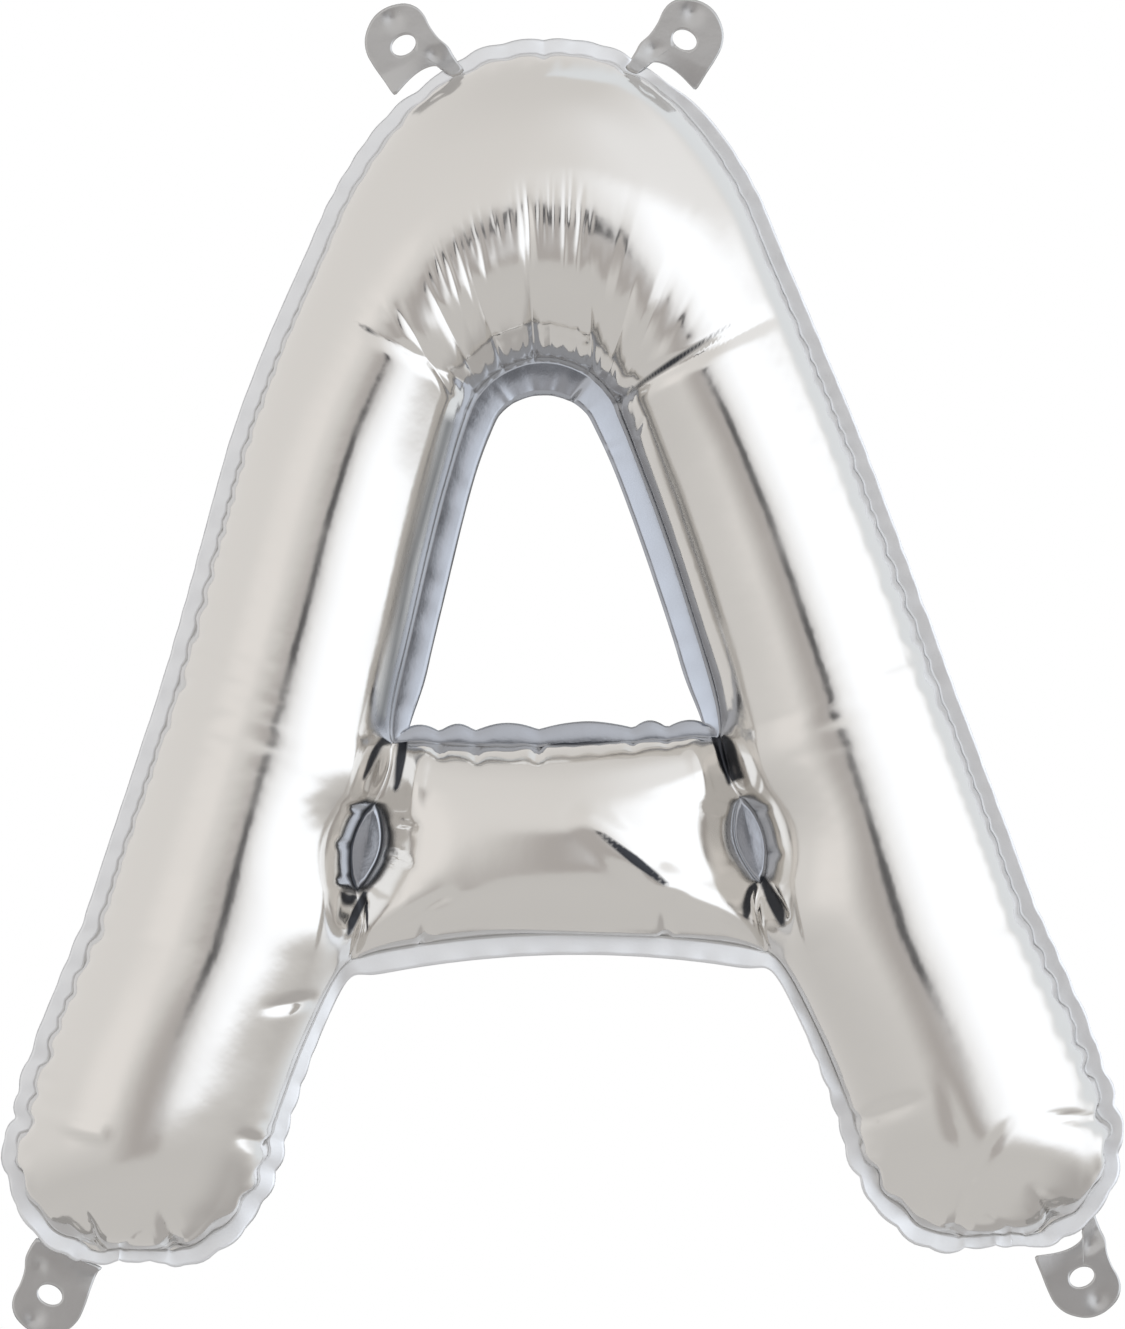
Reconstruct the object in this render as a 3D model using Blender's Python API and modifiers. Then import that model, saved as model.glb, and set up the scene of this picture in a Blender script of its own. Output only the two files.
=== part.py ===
# A silver foil balloon in the shape of a capital letter A, with four hanging tabs.
# Two film panels are welded along a flat seam round the outside, round the counter (the letter's
# hole) and at two small islands where the crossbar meets the legs.
# Metres, +Z up. The letter stands in the XZ plane, faces -Y and is symmetric about X = 0.
# The origin is the hanging point, midway between the holes of the two upper tabs.

import math

import bmesh
import bpy
from mathutils import Vector

mm = 0.001

# Film and seam
wall = 1.0 * mm           # wall of each film panel
rimHeight = 0.9 * mm      # a panel's rim stands this far from the weld plane Y = 0
seamThickness = 0.6 * mm
seamGap = 0.3 * mm        # between a panel's rim and the seam

# The right half of the inflated letter, from the apex down to the foot, in millimetres.
# Each row is a cross-section of the tube, from a point of its outer edge to one of its inner edge.
# Columns: outer X, outer Z, inner X, inner Z, half depth, outer seam width, inner seam width, steps
# to the next row. The crossbar joins the leg between the rows with a seam width of 0.
sections = [
    (0.0, -3.7, 0.0, -96.6, 34.0, 4.9, 11.7, 1),
    (19.0, -6.7, 7.4, -97.8, 34.0, 4.9, 11.4, 2),
    (36.2, -16.2, 15.3, -101.8, 33.5, 4.9, 10.8, 2),
    (49.1, -30.0, 21.5, -108.5, 32.5, 4.9, 10.0, 1),
    (60.1, -47.2, 25.1, -117.1, 31.0, 4.9, 9.2, 2),
    (69.3, -67.5, 28.8, -127.5, 30.0, 4.9, 8.6, 1),
    (80.3, -92.9, 33.4, -141.0, 29.0, 4.9, 8.6, 1),
    (90.8, -119.0, 38.9, -159.4, 28.5, 4.9, 8.6, 1),
    (100.3, -147.2, 44.8, -180.9, 28.5, 4.9, 8.4, 1),
    (108.2, -171.7, 48.7, -196.2, 28.5, 4.9, 8.2, 1),
    (115.6, -194.4, 50.6, -213.1, 28.5, 4.9, 0.0, 1),
    (142.0, -269.2, 66.8, -279.9, 30.0, 4.9, 0.0, 1),
    (149.3, -286.1, 73.6, -293.7, 30.5, 4.9, 3.7, 1),
    (157.3, -304.5, 80.3, -309.1, 30.5, 4.6, 3.7, 1),
    (163.4, -321.3, 87.1, -327.4, 30.0, 4.2, 3.7, 1),
    (167.4, -338.2, 91.1, -342.8, 27.5, 3.7, 3.7, 1),
    (165.0, -352.0, 97.5, -356.0, 22.0, 3.7, 3.7, 1),
    (157.3, -363.0, 107.9, -366.1, 13.0, 3.7, 3.7, 1),
    (146.6, -369.8, 120.2, -370.4, 0.0, 3.7, 3.7, 0),
]
junctionTop = 10          # row where the crossbar's upper edge meets the leg
junctionBottom = 11       # row where its lower edge does

# The crossbar's rows, as shares of its height from its upper edge. Columns: share, depth of the
# air passage at the leg in millimetres, half width of the weld island in millimetres.
barRows = [
    (0.00, 0.0, 0.0),
    (0.07, 5.0, 0.0),
    (0.17, 5.0, 0.0),
    (0.28, 0.0, 0.0),
    (0.42, 0.0, 4.5),
    (0.56, 0.0, 4.5),
    (0.70, 0.0, 0.0),
    (0.82, 5.0, 0.0),
    (0.93, 5.0, 0.0),
    (1.00, 0.0, 0.0),
]
barDepth = 20.0 * mm      # half depth at the middle of the crossbar
barColumns = 5            # from a leg to the middle
barSquareness = 2.2       # how full the crossbar's pillow is towards the legs
barTopSag = 3.0 * mm      # its upper edge is this much lower in the middle than at the legs
barHemRise = 5.0 * mm     # and its lower edge this much higher
barSeam = 3.7 * mm        # seam width along the crossbar's upper edge
barHem = 4.9 * mm         # and along its lower edge
acrossSteps = 8           # faces across the tube of a leg

# Hanging tabs, in millimetres and degrees. Columns: name, side (-1 left, 1 right), root middle X and
# Z, angle of its centre line from straight up or down.
tabs = [
    ("top_left_tab", -1, 37.7, -11.2, 28.7),
    ("top_right_tab", 1, 37.7, -11.2, 28.7),
    ("bottom_left_tab", -1, 151.0, -367.8, 154.3),
    ("bottom_right_tab", 1, 151.0, -367.8, 154.3),
]
tabThickness = 0.5 * mm
tabRootHalfWidth = 10.0 * mm
tabHalfWidth = 10.5 * mm
tabSide = 11.15 * mm      # length of its straight sides, up to the round end
tabEnd = 12.5 * mm        # length of the round end
tabHole = 3.6 * mm        # radius of the punched hole
foldToSeam = 0.25 * mm    # from the fold line back to the seam's edge
foldToTab = 0.45 * mm     # and out to the tab's root
arcSteps = 14


def clearScene():
    for thing in list(bpy.data.objects):
        bpy.data.objects.remove(thing, do_unlink=True)


def newCollection(name):
    collection = bpy.data.collections.new(name)
    bpy.context.scene.collection.children.link(collection)
    return collection


def makeMaterial(name, colour, roughness, metallic):
    material = bpy.data.materials.new(name)
    material.use_nodes = True
    shader = material.node_tree.nodes["Principled BSDF"]
    shader.inputs["Base Color"].default_value = (*colour, 1.0)
    shader.inputs["Roughness"].default_value = roughness
    shader.inputs["Metallic"].default_value = metallic
    material.diffuse_color = (*colour, 1.0)
    return material


def between(a, b, share):
    return [p + (q - p) * share for p, q in zip(a, b)]


def smoothRow(before, a, b, after, share):
    """A row of numbers between rows a and b, on a smooth curve through all four."""
    cubic = []
    for p, q, r, s in zip(before, a, b, after):
        linear = r - p
        square = 2 * p - 5 * q + 4 * r - s
        cube = 3 * q - p - 3 * r + s
        cubic.append(0.5 * (2 * q + share * (linear + share * (square + share * cube))))
    return cubic


def mirrored(row):
    """The row's neighbour on the left of the plane of symmetry."""
    return (-row[0], row[1], -row[2], *row[3:])


def stations():
    """The half letter's cross-sections in metres, with the crossbar's own rows put in."""
    found = []
    for index, row in enumerate(sections[:-1]):
        following = sections[index + 1]
        if index == junctionTop:
            for share, passage, island in barRows[:-1]:
                found.append((*between(row[:7], following[:7], share), passage, island, share))
            continue
        before = mirrored(sections[1]) if index == 0 else sections[index - 1]
        after = sections[min(index + 2, len(sections) - 1)]
        if index + 1 == junctionTop:
            after = following
        if index == junctionBottom:
            before = row
        steps = row[7]
        for step in range(steps):
            values = smoothRow(before[:7], row[:7], following[:7], after[:7], step / steps)
            if step == 0:
                values = list(row[:7])
            share = 1.0 if index == junctionBottom else None
            found.append((*values, 0.0, 0.0, share))
    found.append((*sections[-1][:7], 0.0, 0.0, None))
    keys = ("outerX", "outerZ", "innerX", "innerZ", "depth", "outerSeam", "innerSeam", "passage", "island")
    return [dict(zip(keys, [value * mm for value in row[:9]]), bar=row[9]) for row in found]


rows = stations()
barIndices = [index for index, row in enumerate(rows) if row["bar"] is not None]
firstBar = barIndices[0]
lastBar = barIndices[-1]


def innerEdge(row):
    """The tube's inner edge, moved back from the crossbar by half the weld island's width."""
    outer = Vector((row["outerX"], row["outerZ"]))
    inner = Vector((row["innerX"], row["innerZ"]))
    return inner + (outer - inner).normalized() * row["island"]


def tubePoints(row):
    """Points across the tube, outer edge first: (X, Z, height of the film over its rim)."""
    outer = Vector((row["outerX"], row["outerZ"]))
    inner = innerEdge(row)
    points = []
    for step in range(acrossSteps + 1):
        angle = math.pi * step / acrossSteps
        place = outer.lerp(inner, (1 - math.cos(angle)) / 2)
        low = row["passage"] if 2 * step > acrossSteps else 0.0
        height = low + max(row["depth"] - low, 0.0) * math.sin(angle)
        points.append((place.x, place.y, height))
    return points


def barPoints(row):
    """Points from the leg to the middle of the crossbar, as tubePoints gives them."""
    start = Vector((row["innerX"], row["innerZ"]))
    outer = Vector((row["outerX"], row["outerZ"]))
    start -= (outer - start).normalized() * row["island"]
    middle = barDepth * math.sqrt(max(0.0, 1 - (2 * row["bar"] - 1) ** 2))
    points = []
    for step in range(barColumns + 1):
        share = 1 - step / barColumns
        full = math.sqrt(1 - share**barSquareness)
        low = row["passage"]
        place = start.lerp(Vector((0.0, row["innerZ"])), step / barColumns)
        bow = barHemRise * row["bar"] - barTopSag * (1 - row["bar"])
        place.y += bow * (1 - share**2)
        points.append((place.x, place.y, low + (middle - low) * full if middle > low else middle))
    return points


def linkObject(name, data, collection, material):
    data.materials.append(material)
    thing = bpy.data.objects.new(name, data)
    collection.objects.link(thing)
    return thing


def addMirror(thing):
    mirror = thing.modifiers.new("Mirror", "MIRROR")
    mirror.use_clip = True
    mirror.merge_threshold = 0.0001


def addThickness(thing, thickness, offset):
    solidify = thing.modifiers.new("Solidify", "SOLIDIFY")
    solidify.thickness = thickness
    solidify.offset = offset


def makePanel(name, facing, collection, material):
    """One film panel: facing is -1 for the front (-Y) and 1 for the back."""
    mesh = bmesh.new()

    def addVertex(point):
        return mesh.verts.new((point[0], facing * (rimHeight + point[2]), point[1]))

    def addStrip(upper, lower):
        for left, right, lowRight, lowLeft in zip(upper, upper[1:], lower[1:], lower):
            corners = [left, right, lowRight, lowLeft]
            kept = [corner for place, corner in enumerate(corners) if corner not in corners[:place]]
            mesh.faces.new(kept if facing < 0 else kept[::-1])

    tube = [[addVertex(point) for point in tubePoints(row)] for row in rows]
    for upper, lower in zip(tube, tube[1:]):
        addStrip(upper, lower)
    bar = []
    for index in barIndices:
        points = barPoints(rows[index])
        shared = rows[index]["island"] == 0.0
        start = tube[index][-1] if shared else addVertex(points[0])
        bar.append([start] + [addVertex(point) for point in points[1:]])
    for upper, lower in zip(bar, bar[1:]):
        addStrip(upper, lower)
    data = bpy.data.meshes.new(name)
    mesh.to_mesh(data)
    mesh.free()
    panel = linkObject(name, data, collection, material)
    addMirror(panel)
    addThickness(panel, wall, -1.0)
    data.shade_smooth()
    return panel


def outerLine():
    """The half letter's outer edge, apex to the middle of the crossbar, with a seam width a segment."""
    line = [(Vector((row["outerX"], row["outerZ"])), row["outerSeam"]) for row in rows]
    foot = [Vector(point[:2]) for point in tubePoints(rows[-1])]
    line += [(point, rows[-1]["outerSeam"]) for point in foot[1:]]
    line += [(Vector((row["innerX"], row["innerZ"])), row["innerSeam"]) for row in rows[-2:lastBar:-1]]
    line += [(Vector(point[:2]), barHem) for point in barPoints(rows[lastBar])]
    return line


def counterLine():
    """The edge of the counter, from the middle of the crossbar up to the arch."""
    upper = rows[firstBar]["innerZ"]      # the seam's cut edge stays straight over the sagging film
    line = [(Vector(point[:2]), barSeam + upper - point[1]) for point in barPoints(rows[firstBar])[::-1]]
    line[-1] = (line[-1][0], rows[firstBar - 1]["innerSeam"])
    line += [(Vector((row["innerX"], row["innerZ"])), row["innerSeam"]) for row in rows[firstBar - 1 :: -1]]
    return line


def offsetLine(line, extra):
    """The line moved out to its left by the seam's width at each segment, or by extra alone."""
    points = [point for point, width in line]
    widths = [width if extra is None else extra for point, width in line]
    moved = []
    for index, point in enumerate(points):
        ahead = points[index + 1] - point if index + 1 < len(points) else None
        behind = point - points[index - 1] if index else None
        if ahead is None or behind is None:
            only = ahead if behind is None else behind
            normal = Vector((0.0, -only.x)).normalized() * -1
            moved.append(point + normal * widths[index])
            continue
        first = Vector((-behind.y, behind.x)).normalized()
        second = Vector((-ahead.y, ahead.x)).normalized()
        turn = first.x * second.y - first.y * second.x
        if abs(turn) > 0.5:
            w1 = widths[index - 1]
            w2 = widths[index]
            moved.append(
                point + Vector((w1 * second.y - w2 * first.y, w2 * first.x - w1 * second.x)) / turn
            )
            continue
        normal = (first + second).normalized()
        moved.append(point + normal * widths[index] / normal.dot(first))
    return moved


def makeSeam(name, line, collection, material):
    """A flat band of welded film, from seamGap off the panels' rim out to its cut edge."""
    near = offsetLine(line, seamGap)
    far = offsetLine([(point, width + seamGap) for point, width in line], None)
    mesh = bmesh.new()
    inner = [mesh.verts.new((point.x, 0.0, point.y)) for point in near]
    outer = [mesh.verts.new((point.x, 0.0, point.y)) for point in far]
    for corners in zip(inner, inner[1:], outer[1:], outer):
        mesh.faces.new(corners)
    data = bpy.data.meshes.new(name)
    mesh.to_mesh(data)
    mesh.free()
    seam = linkObject(name, data, collection, material)
    addMirror(seam)
    addThickness(seam, seamThickness, 0.0)
    return far


def makeWeb(name, side, collection, material):
    """The lens of welded film between the crossbar and a leg."""
    islandRows = [rows[index] for index in barIndices]
    wide = [place for place, row in enumerate(islandRows) if row["island"] > 0.0]
    span = islandRows[wide[0] - 1 : wide[-1] + 2]
    tip = 0.12            # share of the end segments that the lens leaves free
    ends = []
    for row, neighbour in ((span[0], span[1]), (span[-1], span[-2])):
        ends.append(Vector(between(
            (row["innerX"], row["innerZ"]), (neighbour["innerX"], neighbour["innerZ"]), tip
        )))
    legSide = []
    barSide = []
    for row in span[1:-1]:
        middle = Vector((row["innerX"], row["innerZ"]))
        out = (Vector((row["outerX"], row["outerZ"])) - middle).normalized()
        legSide.append(middle + out * (row["island"] - seamGap))
        barSide.append(middle - out * (row["island"] - seamGap))
    outline = [ends[0]] + legSide + [ends[1]] + barSide[::-1]
    mesh = bmesh.new()
    corners = [mesh.verts.new((side * point.x, 0.0, point.y)) for point in outline]
    mesh.faces.new(corners)
    data = bpy.data.meshes.new(name)
    mesh.to_mesh(data)
    mesh.free()
    web = linkObject(name, data, collection, material)
    addThickness(web, seamThickness, 0.0)


def addLoop(curve, points):
    spline = curve.splines.new("POLY")
    spline.points.add(len(points) - 1)
    for place, (x, y) in zip(spline.points, points):
        place.co = (x, y, 0.0, 1.0)
    spline.use_cyclic_u = True


def makeTab(name, side, rootX, rootZ, angle, seamEdge, collection, material):
    """A hanging tab, with its origin on the fold line where it meets the seam."""
    lean = math.radians(angle)
    along = Vector((math.sin(lean), math.cos(lean)))
    across = Vector((along.y, -along.x))
    root = Vector((rootX, rootZ))
    reach = max(
        point.dot(along) for point in seamEdge if abs((point - root).dot(across)) < 2 * tabHalfWidth
    )
    fold = across * root.dot(across) + along * (reach + foldToSeam)
    outline = [(-tabRootHalfWidth, foldToTab), (tabRootHalfWidth, foldToTab)]
    for step in range(arcSteps + 1):
        turn = math.pi * step / arcSteps
        outline.append((tabHalfWidth * math.cos(turn), foldToTab + tabSide + tabEnd * math.sin(turn)))
    hole = []
    for step in range(arcSteps):
        turn = 2 * math.pi * step / arcSteps
        hole.append((tabHole * math.cos(turn), foldToTab + tabSide + tabHole * math.sin(turn)))
    curve = bpy.data.curves.new(name, "CURVE")
    curve.dimensions = "2D"
    curve.fill_mode = "BOTH"
    curve.extrude = tabThickness / 2
    addLoop(curve, outline)
    addLoop(curve, hole)
    tab = linkObject(name, curve, collection, material)
    tab.location = (side * fold.x, 0.0, fold.y)
    tab.rotation_euler = (math.radians(90), side * lean, 0.0)
    tab.rotation_mode = "XYZ"


clearScene()
parts = newCollection("letter_a_foil_balloon")
film = makeMaterial("silver film", (0.80, 0.79, 0.78), 0.12, 1.0)
weld = makeMaterial("welded silver film", (0.62, 0.62, 0.64), 0.25, 1.0)
makePanel("front_foil", -1, parts, film)
makePanel("back_foil", 1, parts, film)
outerCut = makeSeam("outer_seam", outerLine(), parts, weld)
makeSeam("counter_seam", counterLine(), parts, weld)
makeWeb("left_junction_web", -1, parts, weld)
makeWeb("right_junction_web", 1, parts, weld)
for name, side, rootX, rootZ, angle in tabs:
    makeTab(name, side, rootX * mm, rootZ * mm, angle, outerCut, parts, weld)
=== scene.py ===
import math

import bpy
import numpy as np
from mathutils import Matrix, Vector


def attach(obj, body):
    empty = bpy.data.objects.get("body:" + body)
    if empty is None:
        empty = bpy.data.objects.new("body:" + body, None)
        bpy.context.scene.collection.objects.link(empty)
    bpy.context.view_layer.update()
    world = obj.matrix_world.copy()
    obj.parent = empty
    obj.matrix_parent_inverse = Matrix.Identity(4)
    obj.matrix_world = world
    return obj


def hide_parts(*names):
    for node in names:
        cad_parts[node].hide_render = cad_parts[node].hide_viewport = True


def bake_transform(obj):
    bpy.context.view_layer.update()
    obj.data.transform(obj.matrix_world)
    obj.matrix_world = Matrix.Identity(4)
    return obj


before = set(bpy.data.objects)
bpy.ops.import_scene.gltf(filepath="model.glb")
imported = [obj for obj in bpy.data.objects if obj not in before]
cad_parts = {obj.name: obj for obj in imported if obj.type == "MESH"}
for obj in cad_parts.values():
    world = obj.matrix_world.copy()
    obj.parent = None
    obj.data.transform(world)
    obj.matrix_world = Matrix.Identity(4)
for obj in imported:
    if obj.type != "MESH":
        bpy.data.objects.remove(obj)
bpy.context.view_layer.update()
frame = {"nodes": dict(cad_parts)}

mm = 0.001
print("frame loaded:", ", ".join(frame["nodes"]))


def toLinear(hexColour):
    parts = [int(hexColour[i:i + 2], 16) / 255 for i in (0, 2, 4)]
    return [c / 12.92 if c <= 0.04045 else ((c + 0.055) / 1.055) ** 2.4 for c in parts] + [1.0]


def addNode(tree, kind, inputs=None, **settings):
    node = tree.nodes.new("ShaderNode" + kind)
    for name, value in settings.items():
        setattr(node, name, value)
    for key, value in (inputs or {}).items():
        if isinstance(value, bpy.types.NodeSocket):
            tree.links.new(value, node.inputs[key])
        else:
            node.inputs[key].default_value = value
    return node


def noise(tree, place, size, detail):
    inputs = {"Vector": place, "Scale": 1 / (size * mm), "Detail": detail}
    return addNode(tree, "TexNoise", inputs).outputs[0]


def bump(tree, height, distance, **under):
    inputs = {"Height": height, "Distance": distance * mm, "Strength": 1.0, **under}
    return addNode(tree, "Bump", inputs).outputs[0]


def newMaterial(name, settings):
    material = bpy.data.materials.new(name)
    material.use_nodes = True
    tree = material.node_tree
    shader = tree.nodes["Principled BSDF"]
    for key, value in settings.items():
        if isinstance(value, str):
            value = toLinear(value)
        shader.inputs[key].default_value = value
    return material, tree, shader


def addObject(name, points, faces, material):
    mesh = bpy.data.meshes.new(name)
    mesh.from_pydata([tuple(p) for p in points], [], [tuple(f) for f in faces])
    mesh.validate()
    mesh.shade_smooth()
    mesh.materials.append(material)
    thing = bpy.data.objects.new(name, mesh)
    bpy.context.scene.collection.objects.link(thing)
    return thing


def thicken(thing, thickness):
    modifier = thing.modifiers.new("Solidify", "SOLIDIFY")
    modifier.thickness = thickness * mm
    modifier.offset = 0.0


# Polyester film with a vapour-deposited aluminium layer: a clear mirror, a little warm, that
# breaks into soft facets over the finest crinkles of the film.
filmLook = {
    "colour": "E3E1DE",
    "roughness": 0.12,
    "haze": 0.06,           # added where the film has been handled
    "hazeFrom": 0.45,       # of the slow waves, where that begins
    "hazeFull": 0.75,
    "crinkleSize": 5.0,     # mm
    "crinkleHeight": 0.035,  # mm
    "swellSize": 19.0,      # mm, slow waves left by the roll
    "swellHeight": 0.10,    # mm
    "paintedFoldShadeColour": "45474C",  # painted shade: the film's colour in the tightest folds, round the weld islands and in a band left of the counter's weld
    "paintedFoldShadeRoughness": 0.45,
    "paintedFoldShadeFrom": 0.22,    # of the painted shade's strength, where that begins
    "paintedFoldShadeFull": 0.5,
}
film, tree, shader = newMaterial("vapour-metallised polyester film", {
    "Base Color": filmLook["colour"], "Metallic": 1.0,
})
place = addNode(tree, "TexCoord").outputs["Object"]
crinkle = noise(tree, place, filmLook["crinkleSize"], 2.0)
swell = noise(tree, place, filmLook["swellSize"], 1.0)
slowBump = bump(tree, swell, filmLook["swellHeight"])
fineBump = bump(tree, crinkle, filmLook["crinkleHeight"], Normal=slowBump)
hazeShare = addNode(tree, "MapRange", {
    "Value": swell, "From Min": filmLook["hazeFrom"], "From Max": filmLook["hazeFull"],
    "To Min": filmLook["roughness"], "To Max": filmLook["roughness"] + filmLook["haze"],
}).outputs[0]
# painted shade: where the fold shade attribute is strong, the base colour goes to a dark grey and the
# roughness rises
paintedFoldShadeAt = addNode(tree, "Attribute", attribute_name="painted_fold_shade").outputs["Fac"]
paintedFoldShadeShare = addNode(tree, "MapRange", {
    "Value": paintedFoldShadeAt, "From Min": filmLook["paintedFoldShadeFrom"], "From Max": filmLook["paintedFoldShadeFull"],
}, interpolation_type="SMOOTHSTEP").outputs[0]
tree.links.new(addNode(tree, "Mix", {
    0: paintedFoldShadeShare, 6: toLinear(filmLook["colour"]), 7: toLinear(filmLook["paintedFoldShadeColour"]),
}, data_type="RGBA").outputs[2], shader.inputs["Base Color"])
tree.links.new(addNode(tree, "Mix", {
    0: paintedFoldShadeShare, 2: hazeShare, 3: filmLook["paintedFoldShadeRoughness"],
}).outputs[0], shader.inputs["Roughness"])
tree.links.new(fineBump, shader.inputs["Normal"])

# The same film, two layers pressed together by a hot bar: flat, duller and bluer than the mirror, with the
# bar's fine grain in it. Its colours are lit and shaded copies of one film. Round the counter and on the
# weld islands it is a darker blue-grey band of painted shade, round the outside a pale satin rim of painted
# light, and on the tabs a grey of painted shade, with soft glints.
weldLook = {
    # painted shade: the darker blue-grey of the counter band and the weld islands
    "colour": "B4B8C0",
    # painted light: the outer rim's paler colour
    "rimLitColour": "E9EBEE",
    # painted shade: the tabs' grey
    "tabShadedColour": "C2C2C2",
    "roughness": 0.17,
    "rimRoughness": 0.38,   # the outer seam is pressed by a wider, coarser bar
    "tabRoughness": 0.24,
    "unevenness": 0.3,      # share by which the roughness varies over the waves
    "grainSize": 0.9,       # mm
    "grainHeight": 0.012,   # mm
    "waveSize": 8.0,        # mm
    "waveHeight": 0.10,     # mm
}


def weldedFilm(name, colour, roughness):
    material, tree, shader = newMaterial(name, {"Base Color": colour, "Metallic": 1.0})
    place = addNode(tree, "TexCoord").outputs["Object"]
    grain = noise(tree, place, weldLook["grainSize"], 1.0)
    wave = noise(tree, place, weldLook["waveSize"], 2.0)
    waveBump = bump(tree, wave, weldLook["waveHeight"])
    grainBump = bump(tree, grain, weldLook["grainHeight"], Normal=waveBump)
    dull = addNode(tree, "MapRange", {
        "Value": wave,
        "To Min": roughness * (1 - weldLook["unevenness"]),
        "To Max": roughness * (1 + weldLook["unevenness"]),
    }).outputs[0]
    tree.links.new(grainBump, shader.inputs["Normal"])
    tree.links.new(dull, shader.inputs["Roughness"])
    return material


weld = weldedFilm("heat-sealed film with painted shade", weldLook["colour"], weldLook["roughness"])
rimWeld = weldedFilm("heat-sealed rim film with painted light", weldLook["rimLitColour"], weldLook["rimRoughness"])
tabFilm = weldedFilm("heat-sealed tab film with painted shade", weldLook["tabShadedColour"], weldLook["tabRoughness"])
print("materials made")

# The inflated letter that the film's cut has to become, in millimetres: the right half from the
# apex down to the foot, each row a section of the tube. Columns: outer X, outer Z, inner X,
# inner Z, half depth, outer seam width, inner seam width.
letterRows = [
    (0.0, -3.7, 0.0, -96.6, 34.0, 4.9, 11.7),
    (19.0, -6.7, 7.4, -97.8, 34.0, 4.9, 11.4),
    (36.2, -16.2, 15.3, -101.8, 33.5, 4.9, 10.8),
    (49.1, -30.0, 21.5, -108.5, 32.5, 4.9, 10.0),
    (60.1, -47.2, 25.1, -117.1, 31.0, 4.9, 9.2),
    (69.3, -67.5, 28.8, -127.5, 30.0, 4.9, 8.6),
    (80.3, -92.9, 33.4, -141.0, 29.0, 4.9, 8.6),
    (90.8, -119.0, 38.9, -159.4, 28.5, 4.9, 8.6),
    (100.3, -147.2, 44.8, -180.9, 28.5, 4.9, 8.4),
    (108.2, -171.7, 48.7, -196.2, 28.5, 4.9, 8.2),
    (115.6, -194.4, 52.3, -213.1, 28.5, 4.9, 5.0),
    (142.0, -269.2, 66.8, -279.9, 30.0, 4.9, 3.7),
    (149.3, -286.1, 73.6, -293.7, 30.5, 4.9, 3.7),
    (157.0, -304.5, 80.6, -309.1, 30.5, 4.9, 4.0),
    (162.6, -321.3, 87.9, -327.2, 30.0, 5.0, 4.6),
    (166.0, -337.6, 92.8, -341.8, 27.5, 5.1, 5.4),
    (163.5, -350.6, 99.2, -354.2, 22.0, 5.4, 5.8),
    (156.2, -361.2, 108.9, -364.0, 13.0, 5.7, 6.0),
    (146.0, -367.6, 120.6, -368.2, 0.0, 6.0, 6.0),
]
letter = {
    "barTop": 10,           # row where the crossbar's upper edge meets the leg, the next is its lower edge
    "barDepth": 20.0,
    "barFullness": 2.2,
    "barTopSag": 3.0,       # the upper edge is this much lower in the middle than at the legs
    "barHemRise": 7.0,      # and the lower edge this much higher
    "archLean": 0.05,       # share by which the arch's ridge lies nearer the counter
    "barSeam": 3.7,
    "barHem": 7.0,
    "islandFrom": 0.28,     # shares of the crossbar's height
    "islandTo": 0.70,
    "islandHalfWidth": 4.5,
    "passage": 5.0,         # half depth of the air passages above and below the weld island
    "archFrom": -95.0,      # Z of the outer edge where the arch's lean begins
    "archFade": 60.0,       # and how much further up it is full
    "evenBelow": 20.0,      # half depth under which the mesh is spaced evenly across the tube
    "spacing": 2.5,         # of the film's mesh, down the leg
    "across": 36,           # faces across the tube
    "barColumns": 20,       # faces from a leg to the middle of the crossbar
}


def curveThrough(before, a, b, after, t):
    return 0.5 * (2 * a + t * ((b - before) + t * (
        (2 * before - 5 * a + 4 * b - after) + t * (3 * a - before - 3 * b + after))))


def runAlong(line):
    return np.concatenate([[0], np.cumsum(np.linalg.norm(np.diff(line, axis=0), axis=1))])


def fineRows():
    rows = np.array(letterRows)
    flip = np.array([-1, 1, -1, 1, 1, 1, 1])
    top = letter["barTop"]
    found, barFaces = [], 0
    for i, (a, b) in enumerate(zip(rows, rows[1:])):
        before = rows[i - 1] if i else rows[1] * flip
        after = rows[min(i + 2, len(rows) - 1)]
        if i + 1 == top:
            after = 2 * b - a
        if i == top + 1:
            before = 2 * a - b
        longest = max(np.hypot(*(b - a)[:2]), np.hypot(*(b - a)[2:4]))
        steps = max(2, int(round(longest * 0.9 / letter["spacing"])))
        for step in range(steps):
            t = step / steps
            if i == top:
                found.append([*(a + (b - a) * t), t])
            else:
                found.append([*curveThrough(before, a, b, after, t), -1.0])
        if i == top:
            barFaces = steps
    found.append([*rows[-1], -1.0])
    found = np.array(found)
    first = int(np.argmax(found[:, 7] >= 0))
    found[first + barFaces, 7] = 1.0
    return found, first, first + barFaces


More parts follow.
